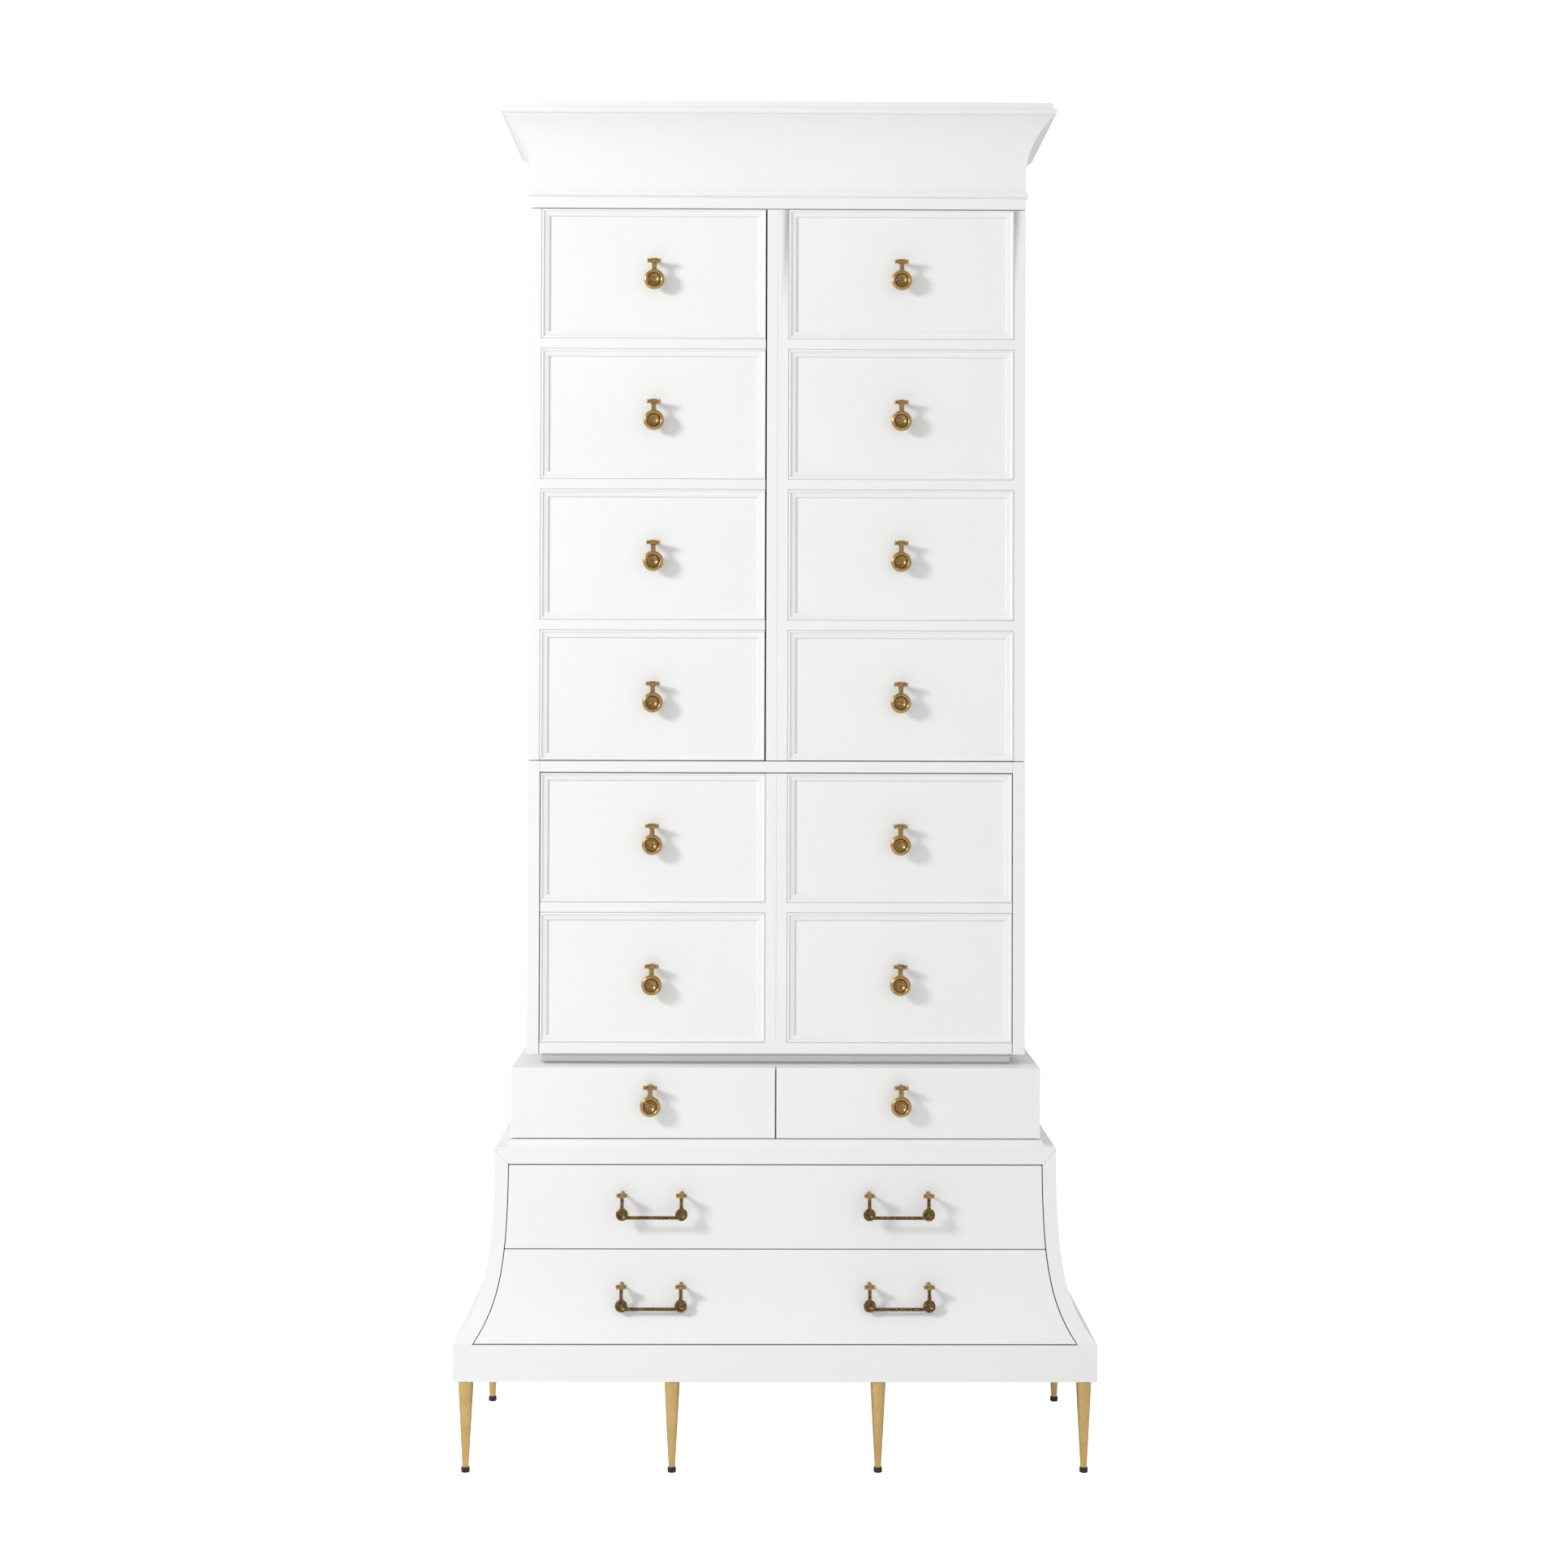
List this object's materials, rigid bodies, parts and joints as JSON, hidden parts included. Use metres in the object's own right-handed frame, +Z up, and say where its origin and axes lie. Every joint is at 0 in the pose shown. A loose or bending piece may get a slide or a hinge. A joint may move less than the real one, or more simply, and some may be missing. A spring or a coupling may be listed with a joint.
{
  "type": "secretary cabinet",
  "caption": "Tall painted secretary cabinet: panelled cupboard doors over a fall-front desk, small drawers, a flared chest of wide drawers, coved cornice, tapered brass legs.",
  "frame": {"origin": "on the floor, under the middle of the base's width and depth", "axes": "+Z up, -Y out of the front, +X to the right of someone facing the front"},
  "size_m": [1.12, 0.486, 2.4125],
  "materials": {
    "white_paint": "satin white paint over fine-grained wood",
    "brass": "satin antique brass",
    "black_plastic": "matt moulded glide",
    "inner_wood": "sealed birch boards inside"
  },
  "bodies": {
    "cabinet": {"glides": "black_plastic", "legs": "brass", "plinth_rails": "white_paint", "plinth_deck": "white_paint", "chest_sides": "white_paint", "chest_frame": "white_paint", "drawer_bay_boards": "inner_wood", "chest_bottom": "inner_wood", "chest_back": "inner_wood", "chest_top": "white_paint", "ledge_moulding": "white_paint", "tier_uprights": "white_paint", "tier_back": "inner_wood", "tier_top": "white_paint", "recessed_plinth": "white_paint", "case_sides": "white_paint", "case_bottom": "white_paint", "case_middle": "white_paint", "case_top": "white_paint", "case_back": "inner_wood", "shelves": "white_paint", "case_fittings": "brass", "cornice": "white_paint", "astragal": "white_paint"},
    "left_door": {"left_door": "white_paint", "left_door_fittings": "brass"},
    "right_door": {"right_door": "white_paint", "right_door_fittings": "brass"},
    "fall_front": {"fall_front": "white_paint", "fall_front_fittings": "brass"},
    "upper_wide_drawer": {"upper_wide_front": "white_paint", "upper_wide_box": "inner_wood", "upper_wide_posts": "brass"},
    "lower_wide_drawer": {"lower_wide_front": "white_paint", "lower_wide_box": "inner_wood", "lower_wide_posts": "brass"},
    "small_left_drawer": {"small_left_front": "white_paint", "small_left_box": "inner_wood", "small_left_post": "brass"},
    "small_right_drawer": {"small_right_front": "white_paint", "small_right_box": "inner_wood", "small_right_post": "brass"},
    "door_pull_left_1": {"door_pull_left_1": "brass"},
    "door_pull_left_2": {"door_pull_left_2": "brass"},
    "door_pull_left_3": {"door_pull_left_3": "brass"},
    "door_pull_left_4": {"door_pull_left_4": "brass"},
    "fall_front_pull_left_1": {"fall_front_pull_left_1": "brass"},
    "fall_front_pull_left_2": {"fall_front_pull_left_2": "brass"},
    "small_drawer_pull_left": {"small_drawer_pull_left": "brass"},
    "upper_bail_left": {"upper_bail_left": "brass"},
    "lower_bail_left": {"lower_bail_left": "brass"},
    "door_pull_right_1": {"door_pull_right_1": "brass"},
    "door_pull_right_2": {"door_pull_right_2": "brass"},
    "door_pull_right_3": {"door_pull_right_3": "brass"},
    "door_pull_right_4": {"door_pull_right_4": "brass"},
    "fall_front_pull_right_1": {"fall_front_pull_right_1": "brass"},
    "fall_front_pull_right_2": {"fall_front_pull_right_2": "brass"},
    "small_drawer_pull_right": {"small_drawer_pull_right": "brass"},
    "upper_bail_right": {"upper_bail_right": "brass"},
    "lower_bail_right": {"lower_bail_right": "brass"}
  },
  "joints": [
    {"name": "left_door_hinge", "type": "hinge", "parent": "cabinet", "child": "left_door", "pos_m": [-0.442, -0.104, 1.2345], "axis": [0, 0, -1], "range_deg": [0, 110]},
    {"name": "right_door_hinge", "type": "hinge", "parent": "cabinet", "child": "right_door", "pos_m": [0.442, -0.104, 1.2345], "axis": [0, 0, 1], "range_deg": [0, 110]},
    {"name": "fall_front_hinge", "type": "hinge", "parent": "cabinet", "child": "fall_front", "pos_m": [0, -0.11, 0.7185], "axis": [1, 0, 0], "range_deg": [0, 90]},
    {"name": "upper_wide_drawer_slide", "type": "slide", "parent": "cabinet", "child": "upper_wide_drawer", "axis": [0, -1, 0], "range_m": [0, 0.32]},
    {"name": "lower_wide_drawer_slide", "type": "slide", "parent": "cabinet", "child": "lower_wide_drawer", "axis": [0, -1, 0], "range_m": [0, 0.32]},
    {"name": "small_left_drawer_slide", "type": "slide", "parent": "cabinet", "child": "small_left_drawer", "axis": [0, -1, 0], "range_m": [0, 0.24]},
    {"name": "small_right_drawer_slide", "type": "slide", "parent": "cabinet", "child": "small_right_drawer", "axis": [0, -1, 0], "range_m": [0, 0.24]},
    {"name": "door_pull_left_1_swing", "type": "hinge", "parent": "left_door", "child": "door_pull_left_1", "pos_m": [-0.222, -0.135, 2.13181], "axis": [-1, 0, 0], "range_deg": [-12, 85]},
    {"name": "door_pull_left_2_swing", "type": "hinge", "parent": "left_door", "child": "door_pull_left_2", "pos_m": [-0.222, -0.135, 1.87894], "axis": [-1, 0, 0], "range_deg": [-12, 85]},
    {"name": "door_pull_left_3_swing", "type": "hinge", "parent": "left_door", "child": "door_pull_left_3", "pos_m": [-0.222, -0.135, 1.62606], "axis": [-1, 0, 0], "range_deg": [-12, 85]},
    {"name": "door_pull_left_4_swing", "type": "hinge", "parent": "left_door", "child": "door_pull_left_4", "pos_m": [-0.222, -0.135, 1.37319], "axis": [-1, 0, 0], "range_deg": [-12, 85]},
    {"name": "fall_front_pull_left_1_swing", "type": "hinge", "parent": "fall_front", "child": "fall_front_pull_left_1", "pos_m": [-0.222, -0.135, 1.11913], "axis": [-1, 0, 0], "range_deg": [-12, 85]},
    {"name": "fall_front_pull_left_2_swing", "type": "hinge", "parent": "fall_front", "child": "fall_front_pull_left_2", "pos_m": [-0.222, -0.135, 0.86887], "axis": [-1, 0, 0], "range_deg": [-12, 85]},
    {"name": "small_drawer_pull_left_swing", "type": "hinge", "parent": "small_left_drawer", "child": "small_drawer_pull_left", "pos_m": [-0.222, -0.173, 0.65925], "axis": [-1, 0, 0], "range_deg": [-12, 85]},
    {"name": "upper_bail_left_swing", "type": "hinge", "parent": "upper_wide_drawer", "child": "upper_bail_left", "pos_m": [-0.217, -0.20443, 0.4755], "axis": [-1, 0, 0], "range_deg": [-5, 85]},
    {"name": "lower_bail_left_swing", "type": "hinge", "parent": "lower_wide_drawer", "child": "lower_bail_left", "pos_m": [-0.217, -0.22054, 0.32], "axis": [-1, 0, 0], "range_deg": [-5, 85]},
    {"name": "door_pull_right_1_swing", "type": "hinge", "parent": "right_door", "child": "door_pull_right_1", "pos_m": [0.222, -0.135, 2.13181], "axis": [-1, 0, 0], "range_deg": [-12, 85]},
    {"name": "door_pull_right_2_swing", "type": "hinge", "parent": "right_door", "child": "door_pull_right_2", "pos_m": [0.222, -0.135, 1.87894], "axis": [-1, 0, 0], "range_deg": [-12, 85]},
    {"name": "door_pull_right_3_swing", "type": "hinge", "parent": "right_door", "child": "door_pull_right_3", "pos_m": [0.222, -0.135, 1.62606], "axis": [-1, 0, 0], "range_deg": [-12, 85]},
    {"name": "door_pull_right_4_swing", "type": "hinge", "parent": "right_door", "child": "door_pull_right_4", "pos_m": [0.222, -0.135, 1.37319], "axis": [-1, 0, 0], "range_deg": [-12, 85]},
    {"name": "fall_front_pull_right_1_swing", "type": "hinge", "parent": "fall_front", "child": "fall_front_pull_right_1", "pos_m": [0.222, -0.135, 1.11913], "axis": [-1, 0, 0], "range_deg": [-12, 85]},
    {"name": "fall_front_pull_right_2_swing", "type": "hinge", "parent": "fall_front", "child": "fall_front_pull_right_2", "pos_m": [0.222, -0.135, 0.86887], "axis": [-1, 0, 0], "range_deg": [-12, 85]},
    {"name": "small_drawer_pull_right_swing", "type": "hinge", "parent": "small_right_drawer", "child": "small_drawer_pull_right", "pos_m": [0.222, -0.173, 0.65925], "axis": [-1, 0, 0], "range_deg": [-12, 85]},
    {"name": "upper_bail_right_swing", "type": "hinge", "parent": "upper_wide_drawer", "child": "upper_bail_right", "pos_m": [0.217, -0.20443, 0.4755], "axis": [-1, 0, 0], "range_deg": [-5, 85]},
    {"name": "lower_bail_right_swing", "type": "hinge", "parent": "lower_wide_drawer", "child": "lower_bail_right", "pos_m": [0.217, -0.22054, 0.32], "axis": [-1, 0, 0], "range_deg": [-5, 85]}
  ]
}
